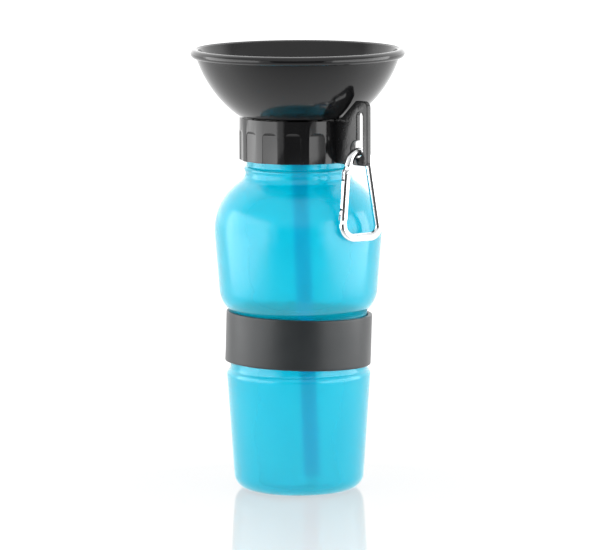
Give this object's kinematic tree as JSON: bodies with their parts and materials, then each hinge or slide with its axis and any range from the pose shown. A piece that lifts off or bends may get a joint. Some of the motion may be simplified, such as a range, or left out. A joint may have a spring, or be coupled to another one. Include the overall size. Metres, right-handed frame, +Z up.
{
  "type": "dog travel water bottle",
  "caption": "Squeeze water bottle for dogs with a wide drinking bowl on top, a screw collar with a hang bracket, a dip straw, a grip band and a small spring-gate carabiner.",
  "frame": {"origin": "centre of the bottle's foot, on the surface it stands on", "axes": "+Z up along the bottle's axis, +X towards the hang bracket and its carabiner"},
  "size_m": [0.111, 0.111, 0.2304],
  "materials": {
    "bottle_plastic": "satin, translucent",
    "black_plastic": "gloss",
    "black_silicone": "matte",
    "clear_silicone": "satin",
    "straw_plastic": "satin",
    "aluminium": "polished",
    "steel": "bright"
  },
  "bodies": {
    "bottle": {"bottle": "bottle_plastic", "grip_band": "black_silicone"},
    "head": {"bowl": "black_plastic", "straw_holder": "black_plastic", "outlet_cap": "black_plastic", "dip_straw": "straw_plastic", "neck_gasket": "clear_silicone"},
    "collar": {"screw_collar": "black_plastic"},
    "carabiner": {"carabiner_hook": "aluminium", "gate_rivet": "steel"},
    "gate": {"carabiner_gate": "aluminium", "gate_latch_pin": "steel", "gate_spring": "steel", "gate_plunger": "steel"}
  },
  "joints": [
    {"name": "head_rise", "type": "slide", "parent": "bottle", "child": "head", "axis": [0, 0, 1], "range_m": [0, 0.005]},
    {"name": "collar_turn", "type": "hinge", "parent": "head", "child": "collar", "pos_m": [0, 0, 0.183], "axis": [0, 0, 1], "range_deg": [0, 360]},
    {"name": "carabiner_swing", "type": "hinge", "parent": "collar", "child": "carabiner", "pos_m": [0.04525, 0, 0.1813], "axis": [0, -1, 0], "range_deg": [0, 150]},
    {"name": "gate_open", "type": "hinge", "parent": "carabiner", "child": "gate", "pos_m": [0.04412, -0.00743, 0.16961], "axis": [0.9773, -0.2077, 0.0419], "range_deg": [0, 30], "stiffness_Nm_per_rad": 0.01, "springref_deg": -20.05}
  ],
  "couplings": [
    {"joint": "collar_turn", "follows": "head_rise", "rad_per_m": 1256.6}
  ]
}
